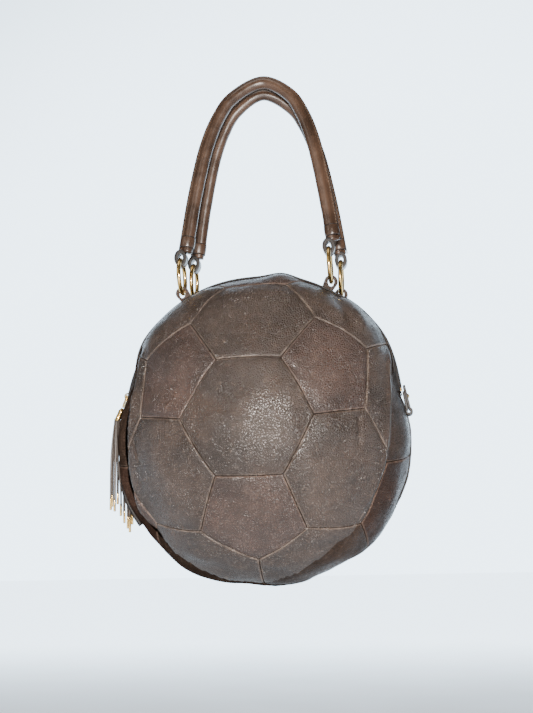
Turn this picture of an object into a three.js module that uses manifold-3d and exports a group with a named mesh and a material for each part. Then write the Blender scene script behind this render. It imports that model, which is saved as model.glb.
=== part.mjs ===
// A ball-shaped leather handbag on two rolled handles, closed by an arched zip.
// Millimetres. +X is the bag's right as seen from the front, -Y its front, +Z up.
// The origin is the point of a hook that carries both handles.
import * as THREE from 'three';
import { mergeVertices } from 'three/addons/utils/BufferGeometryUtils.js';
import Module from 'manifold-3d';

const wasm = await Module();
wasm.setup();

// ---- Driving dimensions ----

const BALL = { width: 298, depth: 246, height: 316 }; // the ball's seams, panels bulge a little more
const FULLNESS = { power: 2.18, uneven: 0.07 }; // 2 is an ellipse; the right side is the fuller one
const DRIFT = { // the front's corners sit further out on the left and a little further in on the right
  left: { shift: 0.085, level: -0.15, reach: 0.5, grows: [0, 0.5], fades: [0.8, 0.9] },
  right: { shift: -0.03, level: -0.2, reach: 0.6, grows: [0.45, 0.7], fades: [0.88, 0.93] },
};
const HOOK_TO_BALL = 361; // from the hook point down to the ball's centre
const LEATHER = { thickness: 1.8, crown: 1.4, seam: 0.01 }; // seam: share of a panel lost at its edge
const MOUTH = { halfWidth: 22.5, closedAt: 0, fullAt: 24 }; // degrees above the horizontal
const LOWER_SEAM_GAP = 0.5; // half the gap between the front and the rear panels
const LINING = { inset: 3, thickness: 0.8, halfWidth: 26.5, closedAt: -16, fullAt: 2 };

const ZIP = { z: 14, radius: 142.4, from: 8, to: 176 }; // an arc about the Y axis through z
const TEETH = { inner: 0.8, outer: 2.4, height: 3 };
const TAPE = { inner: 2.7, middle: 13, outer: 24, thickness: 0.9, gap: 0.4, droop: 0.008 };
const ZIP_STEPS = 28;
const SLIDER = { at: 170, length: 12, width: 9.2, plate: 1.4, lift: 1.9, lip: 1 };
const WEDGE = { from: 1, to: 5, width: 1 }; // measured back from the slider's nose
const CROWN = { z: 4.3, inner: 2.2, outer: 3.6, width: 1.6 };
const PULL = { pivot: 4.8, length: 13, width: 6, thickness: 1.4, bar: 1.6, eye: 4.4, lean: 12 };
const CAP = { radius: 2.9, length: 14, gap: 0.4 };
const FRINGE = { top: 12.7, bottom: -112, topRadius: 3.2, bottomRadius: 8, x: -156.5 };

const RING = { outer: 40, wire: 4.5, y: 19.6 };
const EYE = { lift: 12.4, reach: 5.3, halfWidth: 3.3 }; // lift: above the zip's arc
const TAB = { thickness: 3.2, radius: 6.9, base: 10.5, foot: 140.9 };
const RING_X = { front: [-81.7, 73.7], rear: [-76.7, 81.7] }; // staggered, so that they stand clear
const HANDLE_END = { front: [6.5, 4], rear: [4.5, -2] }; // from a ring to its handle's end, along X

const HANDLE = { across: 13.2, through: 12, apexY: 7 };
const HANDLE_APEX = { front: [5, 374.5], rear: [3.5, 367] }; // X, and height above the ball's centre
const HANDLE_ARCH = [ // share of the half width and of the drop, from the apex down
  [0, 0],
  [0.4, 0.095],
  [0.58, 0.215],
  [0.72, 0.375],
  [0.87, 0.66],
  [1, 1],
];
const LOOP = { halfWidth: 6.6, halfHeight: 9.2, rise: 1.5, holeWidth: 3, holeHeight: 5, stem: 8, depth: 11 };
const KEEPER = { length: 12, wall: 1.6, gap: 0.6, rise: 18, sides: 14, step: 0.002 };

const END_TAB = { top: [148.3, 40], low: [153.6, 14], thickness: 3, loop: 3.6, hole: 1.6, width: 13 };
const STUD = { radius: 3.3, height: 2.6, z: 28.5, gap: 0.9 };

// ---- Materials ----

const HEXAGON_LEATHER = { color: 0x6f5f54, roughness: 0.62, metalness: 0 };
const PENTAGON_LEATHER = { color: 0x74584b, roughness: 0.6, metalness: 0 };
const HANDLE_LEATHER = { color: 0x6b4d3c, roughness: 0.45, metalness: 0 };
const TASSEL_LEATHER = { color: 0x2c221d, roughness: 0.6, metalness: 0 };
const ZIP_TAPE = { color: 0x1d1a1a, roughness: 0.9, metalness: 0 };
const LINING_CLOTH = { color: 0x4a3a30, roughness: 0.9, metalness: 0 };
const BRASS = { color: 0xc79a4e, roughness: 0.22, metalness: 1 };

// ---- Helpers ----

const degrees = THREE.MathUtils.degToRad;
const smooth = THREE.MathUtils.smoothstep;

function node(name, geometry, look) {
  const mesh = new THREE.Mesh(geometry, new THREE.MeshStandardMaterial(look));
  mesh.name = name;
  return mesh;
}

function welded(geometry) {
  const bare = geometry.clone();
  bare.deleteAttribute('normal');
  bare.deleteAttribute('uv');
  return mergeVertices(bare, 1e-4);
}

function signedVolume(geometry) {
  const at = geometry.attributes.position;
  const [a, b, c] = [new THREE.Vector3(), new THREE.Vector3(), new THREE.Vector3()];
  let sum = 0;
  for (let i = 0; i < geometry.index.count; i += 3) {
    a.fromBufferAttribute(at, geometry.index.getX(i));
    b.fromBufferAttribute(at, geometry.index.getX(i + 1));
    c.fromBufferAttribute(at, geometry.index.getX(i + 2));
    sum += a.dot(b.cross(c)) / 6;
  }
  return sum;
}

// A closed geometry from points and triangles, turned to face outwards.
function closedGeometry(points, triangles) {
  const geometry = new THREE.BufferGeometry().setFromPoints(points);
  geometry.setIndex(triangles.flat());
  if (signedVolume(geometry) < 0) {
    geometry.setIndex(triangles.flatMap(([a, b, c]) => [a, c, b]));
  }
  geometry.computeVertexNormals();
  return geometry;
}

function toSolid(geometry) {
  const { attributes, index } = welded(geometry);
  const vertProperties = new Float32Array(attributes.position.array);
  const triVerts = new Uint32Array(index.array);
  return new wasm.Manifold(new wasm.Mesh({ numProp: 3, vertProperties, triVerts }));
}

function joined(...geometries) {
  const solid = geometries.map(toSolid).reduce((whole, next) => whole.add(next));
  const { vertProperties, triVerts } = solid.getMesh();
  const geometry = new THREE.BufferGeometry();
  geometry.setAttribute('position', new THREE.BufferAttribute(vertProperties, 3));
  geometry.setIndex(new THREE.BufferAttribute(triVerts, 1));
  geometry.computeVertexNormals();
  return geometry;
}

function boxAt(x0, x1, y0, y1, z0, z1) {
  const geometry = new THREE.BoxGeometry(x1 - x0, y1 - y0, z1 - z0);
  return geometry.translate((x0 + x1) / 2, (y0 + y1) / 2, (z0 + z1) / 2);
}

// An outline drawn in X and Z, made `depth` thick along Y and centred on y = 0.
function plateXZ(shape, depth, curveSegments = 8) {
  const geometry = new THREE.ExtrudeGeometry(shape, { depth, bevelEnabled: false, curveSegments });
  return geometry.translate(0, 0, -depth / 2).rotateX(Math.PI / 2);
}

function ovalPath(Kind, x, z, halfWidth, halfHeight) {
  return new Kind().absellipse(x, z, halfWidth, halfHeight, 0, 2 * Math.PI, false, 0);
}

// ---- The ball: a football's twenty hexagons and twelve pentagons ----

const BALL_HALF = new THREE.Vector3(BALL.width / 2, BALL.depth / 2, BALL.height / 2);
const EDGE_STEPS = 3;
const RINGS_PER_PANEL = 2;
const RIM_BAND = 0.2; // panel corners this near the middle plane are moved to the rim
const CLOCK_STEP = 30; // degrees in an hour of the clock that names the panels
const [CENTER_ROW, MIDDLE_ROW] = [0.99, 0.5]; // how directly a panel faces the front, per row

// Half the gap between front and rear at an angle round the rim, in radians from +X.
function rimGap(angle, { halfWidth, closedAt, fullAt }) {
  const above = THREE.MathUtils.radToDeg(Math.asin(Math.sin(angle)));
  return LOWER_SEAM_GAP + (halfWidth - LOWER_SEAM_GAP) * smooth(above, closedAt, fullAt);
}

function rimPoint(angle, side, opening = MOUTH) {
  const y = side * rimGap(angle, opening) / BALL_HALF.y;
  const across = Math.sqrt(1 - y * y);
  return new THREE.Vector3(across * Math.cos(angle), y, across * Math.sin(angle));
}

// How much further out than an ellipse the ball's shoulders are, seen from the front.
function fullness({ x, z }) {
  const power = FULLNESS.power + FULLNESS.uneven * x;
  const across = Math.hypot(x, z);
  if (across === 0) {
    return 1;
  }
  const rounding = (Math.abs(x / across) ** power + Math.abs(z / across) ** power) ** (-1 / power);
  return 1 + (rounding - 1) * across * across; // none in the middle of the front
}

// A point at a depth below the ball's surface, in the direction of a unit vector.
function onBall(unit, depth) {
  const outward = unit.clone().divide(BALL_HALF).normalize();
  const full = fullness(unit);
  const point = unit.clone().multiply(BALL_HALF).multiply(new THREE.Vector3(full, 1, full));
  return point.addScaledVector(outward, -depth);
}

// A curved sheet between two polar grids that share a centre and end in a rim.
function polarShell(middle, rings, outerDepth, innerDepth) {
  const count = rings[0].length;
  const layer = (depthAt) => [onBall(middle, depthAt(0))].concat(
    rings.flatMap((ring, r) => ring.map((unit) => onBall(unit, depthAt((r + 1) / rings.length)))),
  );
  const outer = layer(outerDepth);
  const points = outer.concat(layer(innerDepth));
  const at = (sheet, ring, i) => sheet * outer.length + 1 + ring * count + (i % count);
  const triangles = [];
  for (let i = 0; i < count; i += 1) {
    triangles.push([0, at(0, 0, i), at(0, 0, i + 1)]);
    triangles.push([outer.length, at(1, 0, i + 1), at(1, 0, i)]);
    for (let r = 1; r < rings.length; r += 1) {
      triangles.push([at(0, r - 1, i), at(0, r, i), at(0, r, i + 1)]);
      triangles.push([at(0, r - 1, i), at(0, r, i + 1), at(0, r - 1, i + 1)]);
      triangles.push([at(1, r - 1, i), at(1, r, i + 1), at(1, r, i)]);
      triangles.push([at(1, r - 1, i), at(1, r - 1, i + 1), at(1, r, i + 1)]);
    }
    const last = rings.length - 1;
    triangles.push([at(0, last, i + 1), at(0, last, i), at(1, last, i)]);
    triangles.push([at(0, last, i + 1), at(1, last, i), at(1, last, i + 1)]);
  }
  return closedGeometry(points, triangles);
}

function icosahedronCorners() {
  const golden = (1 + Math.sqrt(5)) / 2;
  const corners = [];
  for (const one of [-1, 1]) {
    for (const long of [-golden, golden]) {
      corners.push([0, one, long], [one, long, 0], [long, 0, one]);
    }
  }
  return corners.map((corner) => new THREE.Vector3(...corner));
}

// Every panel as its unit middle and corners: cutting an icosahedron's corners off at a third of
// each edge leaves the pentagons, and what is left of its faces are the hexagons.
function footballPanels() {
  const tips = icosahedronCorners();
  const near = (a, b) => a !== b && Math.abs(a.distanceTo(b) - 2) < 0.01;
  const cut = (a, b) => a.clone().multiplyScalar(2).add(b).normalize();
  const panels = tips.map((tip) => ({
    middle: tip.clone().normalize(),
    corners: tips.filter((other) => near(tip, other)).map((other) => cut(tip, other)),
  }));
  tips.forEach((a, i) => tips.slice(i + 1).forEach((b, j) => tips.slice(i + j + 2).forEach((c) => {
    if (near(a, b) && near(b, c) && near(a, c)) {
      const corners = [cut(a, b), cut(b, a), cut(b, c), cut(c, b), cut(c, a), cut(a, c)];
      panels.push({ middle: a.clone().add(b).add(c).normalize(), corners, tips: [a, b, c] });
    }
  })));
  return faceHexagonForward(panels);
}

// Turns the panels so that one hexagon faces the front with a pentagon right below it.
function faceHexagonForward(panels) {
  const front = panels.find((panel) => panel.tips);
  const yAxis = front.middle.clone().negate();
  const zAxis = front.tips[0].clone().projectOnPlane(yAxis).normalize().negate();
  const xAxis = yAxis.clone().cross(zAxis);
  const turn = new THREE.Matrix4().makeBasis(xAxis, yAxis, zAxis).transpose();
  return panels.map(({ middle, corners }) => ({
    middle: middle.clone().applyMatrix4(turn),
    corners: corners.map((corner) => drifted(corner.clone().applyMatrix4(turn))),
  }));
}

// The bag isn't quite even, so the front's corners have moved a little to the left.
function drifted(corner) {
  if (corner.y > -RIM_BAND) {
    return corner;
  }
  const hand = corner.x < 0 ? DRIFT.left : DRIFT.right;
  const out = Math.abs(corner.x);
  const height = (corner.z - hand.level) / hand.reach;
  const share = smooth(out, ...hand.grows) * (1 - smooth(out, ...hand.fades));
  const shift = hand.shift * share * Math.exp(-height * height);
  return new THREE.Vector3(corner.x + Math.sign(corner.x) * shift, corner.y, corner.z).normalize();
}

function sortedAround(middle, corners) {
  const first = corners[0].clone().projectOnPlane(middle).normalize();
  const second = middle.clone().cross(first);
  const turn = (corner) => Math.atan2(corner.dot(second), corner.dot(first));
  return [...corners].sort((a, b) => turn(a) - turn(b));
}

const rimAngle = (unit) => Math.atan2(unit.z, unit.x);
const isRimCorner = (unit) => Math.abs(unit.y) < RIM_BAND;

function edgePoint(a, b, t, side) {
  if (isRimCorner(a) && isRimCorner(b)) {
    const span = Math.atan2(Math.sin(rimAngle(b) - rimAngle(a)), Math.cos(rimAngle(b) - rimAngle(a)));
    return rimPoint(rimAngle(a) + span * t, side);
  }
  const [from, to] = [a, b].map((c) => (isRimCorner(c) ? rimPoint(rimAngle(c), side) : c));
  return from.clone().lerp(to, t).normalize();
}

function panelGeometry({ middle, corners }) {
  const side = Math.sign(middle.y);
  const around = sortedAround(middle, corners);
  const outline = around.flatMap((corner, i) => {
    const next = around[(i + 1) % around.length];
    return Array.from({ length: EDGE_STEPS }, (_, s) => edgePoint(corner, next, s / EDGE_STEPS, side));
  });
  const centre = outline.reduce((sum, unit) => sum.add(unit), new THREE.Vector3()).normalize();
  const rings = Array.from({ length: RINGS_PER_PANEL }, (_, r) => {
    const reach = (r + 1) / RINGS_PER_PANEL * (1 - LEATHER.seam);
    return outline.map((unit) => centre.clone().lerp(unit, reach).normalize());
  });
  const outer = (share) => -LEATHER.crown * (1 - share * share);
  return polarShell(centre, rings, outer, (share) => outer(share) + LEATHER.thickness);
}

// The panels are named by half, row, shape and their place on a clock seen from the front.
function panelName({ middle, corners }) {
  const half = middle.y < 0 ? 'front' : 'rear';
  const shape = corners.length === 5 ? 'pentagon' : 'hexagon';
  const out = Math.abs(middle.y);
  if (out > CENTER_ROW) {
    return `${half}_center_${shape}`;
  }
  const hour = Math.round((90 - THREE.MathUtils.radToDeg(rimAngle(middle))) / CLOCK_STEP);
  return `${half}_${out > MIDDLE_ROW ? 'middle' : 'rim'}_${shape}_${(hour + 11) % 12 + 1}`;
}

function leatherPanels() {
  return footballPanels().map((panel) => {
    const look = panel.corners.length === 5 ? PENTAGON_LEATHER : HEXAGON_LEATHER;
    return node(panelName(panel), panelGeometry(panel), look);
  });
}

function lining(name, side) {
  const around = 30;
  const steps = 5;
  const middle = new THREE.Vector3(0, side, 0);
  const rings = Array.from({ length: steps }, (_, r) => Array.from({ length: around }, (_, i) => {
    const rim = rimPoint(-side * 2 * Math.PI * i / around, side, LINING);
    return middle.clone().lerp(rim, (r + 1) / steps).normalize();
  }));
  const geometry = polarShell(
    middle,
    rings,
    () => LINING.inset,
    () => LINING.inset + LINING.thickness,
  );
  return node(name, geometry, LINING_CLOTH);
}

// ---- The zip, on its arc ----

function onArc(radius, angle, y = 0) {
  const turn = degrees(angle);
  return new THREE.Vector3(radius * Math.cos(turn), y, ZIP.z + radius * Math.sin(turn));
}

// A section of [y, radius] points carried along the zip's arc, with both ends closed.
function arcSweep(section) {
  const steps = ZIP_STEPS;
  const points = [];
  for (let s = 0; s <= steps; s += 1) {
    const angle = ZIP.from + (ZIP.to - ZIP.from) * s / steps;
    points.push(...section.map(([y, radius]) => onArc(radius, angle, y)));
  }
  const size = section.length;
  const triangles = [];
  for (let s = 0; s < steps; s += 1) {
    for (let i = 0; i < size; i += 1) {
      const [a, b] = [s * size + i, s * size + (i + 1) % size];
      triangles.push([a, b, b + size], [a, b + size, a + size]);
    }
  }
  const outline = section.map(([y, radius]) => new THREE.Vector2(y, radius));
  const turned = (list) => Math.sign(THREE.ShapeUtils.area(list));
  const last = steps * size;
  for (const [a, b, c] of THREE.ShapeUtils.triangulateShape(outline, [])) {
    const sameWay = turned([outline[a], outline[b], outline[c]]) === turned(outline);
    const [p, q] = sameWay ? [b, c] : [c, b];
    triangles.push([a, q, p], [last + a, last + p, last + q]);
  }
  return closedGeometry(points, triangles);
}

function tape(name, side) {
  const { inner, middle, outer, thickness, gap, droop } = TAPE;
  const outside = [inner, middle, outer].map((y) => [side * y, ZIP.radius - gap - droop * y * y]);
  const inside = outside.map(([y, radius]) => [y, radius - thickness]).reverse();
  return node(name, arcSweep([...outside, ...inside]), ZIP_TAPE);
}

function teeth(name, side) {
  const [low, high] = [ZIP.radius - TEETH.height / 2, ZIP.radius + TEETH.height / 2];
  const [near, far] = [side * TEETH.inner, side * TEETH.outer];
  return node(name, arcSweep([[near, low], [far, low], [far, high], [near, high]]), BRASS);
}

// The slider's own frame: X along the teeth, Z away from the bag, the teeth's middle at 0.
function sliderGeometry() {
  const { length, width, plate, lift, lip } = SLIDER;
  const [end, side, middle] = [length / 2, width / 2, lift + plate / 2];
  const arch = new THREE.Shape();
  arch.moveTo(-CROWN.outer, middle);
  arch.lineTo(-CROWN.outer, CROWN.z);
  arch.absarc(0, CROWN.z, CROWN.outer, Math.PI, 0, true);
  arch.lineTo(CROWN.outer, middle);
  arch.lineTo(CROWN.inner, middle);
  arch.lineTo(CROWN.inner, CROWN.z);
  arch.absarc(0, CROWN.z, CROWN.inner, 0, Math.PI, false);
  arch.lineTo(-CROWN.inner, middle);
  return joined(
    boxAt(-end, end, -side, side, lift, lift + plate),
    boxAt(-end, end, -side, side, -lift - plate, -lift),
    boxAt(end - WEDGE.to, end - WEDGE.from, -WEDGE.width / 2, WEDGE.width / 2, -middle, middle),
    boxAt(-end, end, -side, -side + lip, lift - lip, middle),
    boxAt(-end, end, side - lip, side, lift - lip, middle),
    plateXZ(arch, CROWN.width, 5),
  );
}

// The pull's own frame: its bar's axis at 0, and the pull along -X.
function pullGeometry() {
  const { length, width, thickness, bar, eye } = PULL;
  const plate = new THREE.Shape();
  plate.moveTo(bar / 2, -width / 2);
  plate.lineTo(bar / 2, width / 2);
  plate.lineTo(-length * 0.55, width / 2);
  plate.absellipse(-length * 0.55, 0, length * 0.45, width / 2, Math.PI / 2, 1.5 * Math.PI, false, 0);
  const window = new THREE.Path();
  window.moveTo(-bar / 2, -CROWN.width * 0.85);
  window.lineTo(-bar / 2, CROWN.width * 0.85);
  window.lineTo(-bar / 2 - eye, CROWN.width * 0.85);
  window.lineTo(-bar / 2 - eye, -CROWN.width * 0.85);
  plate.holes.push(window);
  const geometry = new THREE.ExtrudeGeometry(plate, {
    depth: thickness,
    bevelEnabled: false,
    curveSegments: 6,
  });
  return geometry.translate(0, 0, -thickness / 2);
}

function capGeometry() {
  const start = PULL.length + CAP.gap;
  const profile = [[0, 0], [0.55, 0], [0.7, 0.08], [1, 0.2], [1, 0.94], [0.85, 1], [0, 1]];
  const points = profile.map(([r, along]) => new THREE.Vector2(r * CAP.radius, start + along * CAP.length));
  return new THREE.LatheGeometry(points, 12).rotateZ(Math.PI / 2);
}

function fringe() {
  const { top, bottom, topRadius, bottomRadius, x } = FRINGE;
  const profile = [[1, 1], [0.4, 0.55], [0.15, 0.12], [0, 0]]; // share of the spread and of the length
  const side = profile.map(([spread, along]) => new THREE.Vector2(
    THREE.MathUtils.lerp(topRadius, bottomRadius, spread),
    THREE.MathUtils.lerp(top, bottom, along),
  ));
  const points = [new THREE.Vector2(0, bottom), ...side, new THREE.Vector2(0, top)];
  const geometry = new THREE.LatheGeometry(points, 12).rotateX(Math.PI / 2);
  return node('tassel_fringe', geometry.translate(x, 0, 0), TASSEL_LEATHER);
}

function sliderWithPull() {
  const slider = new THREE.Group();
  slider.position.copy(onArc(ZIP.radius, SLIDER.at));
  slider.rotation.y = degrees(90 - SLIDER.at);
  slider.add(node('zip_slider', sliderGeometry(), BRASS));
  const pull = new THREE.Group();
  pull.position.z = PULL.pivot;
  pull.rotation.y = degrees(PULL.lean);
  pull.add(node('zip_pull', pullGeometry(), BRASS));
  pull.add(node('tassel_cap', capGeometry(), BRASS));
  slider.add(pull);
  return slider;
}

// ---- Rings and their tabs ----

const RING_RADIUS = (RING.outer - RING.wire) / 2;

// Where a ring passes through its tab's eye, above the zip's arc at that X.
function eyeAt(x, side) {
  const z = ZIP.z + Math.sqrt(ZIP.radius ** 2 - x * x) + EYE.lift;
  return new THREE.Vector3(x, side * RING.y, z);
}

// The rings of a handle share one axis, which leans a little because their eyes differ in height.
function ringFrame(eye, lean) {
  const frame = new THREE.Group();
  frame.position.copy(eye);
  frame.rotation.y = -lean;
  return frame;
}

function ring(name, eye, lean) {
  const geometry = new THREE.TorusGeometry(RING_RADIUS, RING.wire / 2, 8, 24).rotateY(Math.PI / 2);
  const frame = ringFrame(eye, lean);
  frame.add(node(name, geometry.translate(0, 0, RING_RADIUS), BRASS));
  return frame;
}

function ringTab(name, eye) {
  const angle = THREE.MathUtils.radToDeg(Math.atan2(eye.z - ZIP.z, eye.x));
  const half = THREE.MathUtils.radToDeg(TAB.base / 2 / TAB.foot);
  const [right, left] = [onArc(TAB.foot, angle - half), onArc(TAB.foot, angle + half)];
  const shape = new THREE.Shape();
  shape.moveTo(left.x, left.z);
  shape.lineTo(right.x, right.z);
  shape.absarc(eye.x, eye.z, TAB.radius, degrees(angle - 90), degrees(angle + 90), false);
  shape.holes.push(ovalPath(THREE.Path, eye.x, eye.z, EYE.halfWidth, EYE.reach));
  const mesh = node(name, plateXZ(shape, TAB.thickness), PENTAGON_LEATHER);
  mesh.position.y = eye.y;
  return mesh;
}

// ---- Handles ----

function handlePath(leftTop, rightTop, apex) {
  const along = (end) => HANDLE_ARCH.map(([width, drop]) => new THREE.Vector3(
    THREE.MathUtils.lerp(apex.x, end.x, width),
    THREE.MathUtils.lerp(apex.y, end.y, Math.sqrt(drop)),
    THREE.MathUtils.lerp(apex.z, end.z, drop),
  ));
  const leftHalf = along(leftTop).reverse();
  return new THREE.CatmullRomCurve3([...leftHalf, ...along(rightTop).slice(1)], false, 'centripetal');
}

function roundShape(halfWidth, halfHeight, sides) {
  return new THREE.Shape(Array.from({ length: sides }, (_, i) => {
    const turn = 2 * Math.PI * (i + 0.5) / sides;
    return new THREE.Vector2(halfWidth * Math.cos(turn), halfHeight * Math.sin(turn));
  }));
}

function loopGeometry(eye, lean) {
  const z = 2 * RING_RADIUS + LOOP.rise;
  const shape = ovalPath(THREE.Shape, 0, z, LOOP.halfWidth, LOOP.halfHeight);
  shape.holes.push(ovalPath(THREE.Path, 0, z, LOOP.holeWidth, LOOP.holeHeight));
  const frame = ringFrame(eye, lean);
  frame.updateMatrix();
  return plateXZ(shape, LOOP.depth).applyMatrix4(frame.matrix);
}

// A band round the handle, on the path at a height above the ring.
function keeper(name, path, height, fromStart) {
  const share = (step) => (fromStart ? step : 1 - step);
  let at = 0;
  while (path.getPointAt(share(at)).z < height) {
    at += KEEPER.step;
  }
  const inside = [HANDLE.through / 2 + KEEPER.gap, HANDLE.across / 2 + KEEPER.gap];
  const band = roundShape(inside[0] + KEEPER.wall, inside[1] + KEEPER.wall, KEEPER.sides);
  band.holes.push(new THREE.Path(roundShape(inside[0], inside[1], KEEPER.sides).getPoints()));
  const geometry = new THREE.ExtrudeGeometry(band, { depth: KEEPER.length, bevelEnabled: false });
  geometry.translate(0, 0, -KEEPER.length / 2).rotateZ(Math.PI / 2);
  const mesh = node(name, geometry, HANDLE_LEATHER);
  const up = new THREE.Vector3(0, 0, 1);
  const tangent = path.getTangentAt(share(at)).multiplyScalar(fromStart ? 1 : -1);
  mesh.quaternion.setFromUnitVectors(up, tangent);
  mesh.position.copy(path.getPointAt(share(at)));
  return mesh;
}

function handleSet(half, side) {
  const group = new THREE.Group();
  const ends = RING_X[half].map((x) => eyeAt(x, side));
  const across = ends[1].clone().sub(ends[0]);
  const lean = Math.atan2(across.z, across.x);
  const up = new THREE.Vector3(-Math.sin(lean), 0, Math.cos(lean));
  const wires = ends.map((eye) => eye.clone().addScaledVector(up, 2 * RING_RADIUS));
  const bottoms = wires.map((wire, i) => wire.clone().addScaledVector(up, LOOP.stem)
    .add(new THREE.Vector3(HANDLE_END[half][i], 0, 0)));
  const [apexX, apexZ] = HANDLE_APEX[half];
  const path = handlePath(...bottoms, new THREE.Vector3(apexX, side * HANDLE.apexY, apexZ));
  const section = roundShape(HANDLE.through / 2, HANDLE.across / 2, 10);
  const tube = new THREE.ExtrudeGeometry(section, { extrudePath: path, steps: 40, bevelEnabled: false });
  const loops = ends.map((eye) => loopGeometry(eye, lean));
  group.add(node(`${half}_handle`, joined(tube, ...loops), HANDLE_LEATHER));
  ['left', 'right'].forEach((hand, i) => {
    group.add(ringTab(`${half}_${hand}_ring_tab`, ends[i]));
    group.add(ring(`${half}_${hand}_ring`, ends[i], lean));
    group.add(keeper(`${half}_${hand}_handle_keeper`, path, wires[i].z + KEEPER.rise, i === 0));
  });
  return group;
}

// ---- The tab at the zip's right end ----

function endTab() {
  const [top, low] = [END_TAB.top, END_TAB.low].map(([x, z]) => new THREE.Vector2(x, z));
  const slope = low.clone().sub(top).angle();
  const across = new THREE.Vector2(-Math.sin(slope), Math.cos(slope));
  const half = END_TAB.thickness / 2;
  const shape = new THREE.Shape();
  shape.moveTo(top.x - across.x * half, top.y - across.y * half);
  shape.absarc(low.x, low.y, END_TAB.loop, slope - 0.75 * Math.PI, slope + 0.75 * Math.PI, false);
  shape.lineTo(top.x + across.x * half, top.y + across.y * half);
  shape.holes.push(ovalPath(THREE.Path, low.x, low.y, END_TAB.hole, END_TAB.hole));
  return [
    node('zip_end_tab', plateXZ(shape, END_TAB.width, 10), TASSEL_LEATHER),
    endStud(top, low, across),
  ];
}

function endStud(top, low, across) {
  const profile = [[0, 0], [0.62, 0], [0.62, 0.3], [1, 0.34], [0.95, 0.7], [0.6, 1], [0, 1]];
  const points = profile.map(([r, along]) => new THREE.Vector2(r * STUD.radius, along * STUD.height));
  const stud = node('zip_end_stud', new THREE.LatheGeometry(points, 12), BRASS);
  const share = (STUD.z - top.y) / (low.y - top.y);
  const clear = THREE.MathUtils.lerp(END_TAB.thickness / 2, END_TAB.loop, share) + STUD.gap;
  const foot = top.clone().lerp(low, share).addScaledVector(across, clear);
  stud.position.set(foot.x, 0, foot.y);
  const outward = new THREE.Vector3(across.x, 0, across.y);
  stud.quaternion.setFromUnitVectors(new THREE.Vector3(0, 1, 0), outward);
  return stud;
}

// ---- The bag ----

const bag = new THREE.Group();
bag.position.z = -HOOK_TO_BALL;
bag.add(...leatherPanels());
bag.add(lining('front_lining', -1), lining('rear_lining', 1));
bag.add(tape('front_zip_tape', -1), tape('rear_zip_tape', 1));
bag.add(teeth('front_zip_teeth', -1), teeth('rear_zip_teeth', 1));
bag.add(sliderWithPull(), fringe());
bag.add(handleSet('front', -1));
bag.add(handleSet('rear', 1));
bag.add(...endTab());

export default bag;
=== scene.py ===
"""The looks of a ball-shaped leather handbag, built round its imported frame. Metres, Z up, front at -Y."""

import math

import bmesh
import bpy
import numpy as np
from mathutils import Matrix, Vector, noise


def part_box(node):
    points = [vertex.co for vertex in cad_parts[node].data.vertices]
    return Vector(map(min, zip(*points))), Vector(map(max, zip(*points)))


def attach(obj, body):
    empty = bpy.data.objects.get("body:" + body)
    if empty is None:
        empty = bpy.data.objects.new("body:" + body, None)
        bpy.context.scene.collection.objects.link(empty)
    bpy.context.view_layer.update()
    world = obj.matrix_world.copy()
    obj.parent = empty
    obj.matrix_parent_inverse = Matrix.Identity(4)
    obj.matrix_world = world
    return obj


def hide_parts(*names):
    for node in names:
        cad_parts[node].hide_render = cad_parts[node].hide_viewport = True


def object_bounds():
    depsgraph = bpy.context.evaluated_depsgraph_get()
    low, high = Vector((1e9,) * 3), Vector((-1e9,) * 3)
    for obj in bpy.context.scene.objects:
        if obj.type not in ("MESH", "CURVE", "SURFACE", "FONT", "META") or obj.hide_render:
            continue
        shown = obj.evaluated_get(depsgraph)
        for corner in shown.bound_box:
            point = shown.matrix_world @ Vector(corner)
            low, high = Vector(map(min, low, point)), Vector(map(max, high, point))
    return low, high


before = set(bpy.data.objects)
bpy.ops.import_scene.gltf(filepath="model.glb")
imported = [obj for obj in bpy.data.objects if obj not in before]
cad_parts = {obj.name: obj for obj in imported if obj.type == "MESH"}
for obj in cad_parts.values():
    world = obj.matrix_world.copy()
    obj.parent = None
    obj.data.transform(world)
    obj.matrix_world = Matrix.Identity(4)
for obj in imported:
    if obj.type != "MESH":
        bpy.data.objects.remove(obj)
cad_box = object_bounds()

# ---- Driving dimensions, in metres ----

MM = 0.001
BALL_CENTER = np.array((0, 0, -0.361))
BALL_HALF = np.array((0.149, 0.123, 0.158))
FULLNESS = {"power": 2.18, "uneven": 0.07}
DRIFT = {  # how the front's corners have moved: shift, level, reach, where it grows, where it fades
    -1: (0.085, -0.15, 0.5, (0, 0.5), (0.8, 0.9)),
    1: (-0.03, -0.2, 0.6, (0.45, 0.7), (0.88, 0.93)),
}
ARC_Z = BALL_CENTER[2] + 0.014  # the centre of the zip's arc
ARC_RADIUS = 0.1424
MOUTH = {"half_width": 0.0225, "lower_gap": 0.00005, "closed_at": 0, "full_at": 24}
LINING_MOUTH = {"half_width": 0.0265, "lower_gap": 0.0005, "closed_at": -16, "full_at": 2}
RING_RADIUS = 0.01775
RING_WIRE = 0.00225
RING_Y = 0.0196
RING_X = {"front": (-0.0817, 0.0737), "rear": (-0.0767, 0.0817)}
HANDLE_END = {"front": (0.0065, 0.004), "rear": (0.0045, -0.002)}
EYE_LIFT = 0.0124
HANDLE_APEX = {"front": (0.005, -0.007, 0.3745), "rear": (0.0035, 0.007, 0.367)}
HANDLE_ARCH = ((0, 0), (0.4, 0.095), (0.58, 0.215), (0.72, 0.375), (0.87, 0.66), (1, 1))
LOOP_STEM = 0.008
FLANGE_ROOT = 0.0062  # from a handle's middle to its sewn flange
SIDES = (("front", -1), ("rear", 1))


# ---- Small maths ----


def unit(v):
    v = np.asarray(v, float)
    return v / np.linalg.norm(v, axis=-1, keepdims=True)


def smooth(x, low, high):
    t = np.clip((np.asarray(x, float) - low) / (high - low), 0, 1)
    return t * t * (3 - 2 * t)


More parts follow.
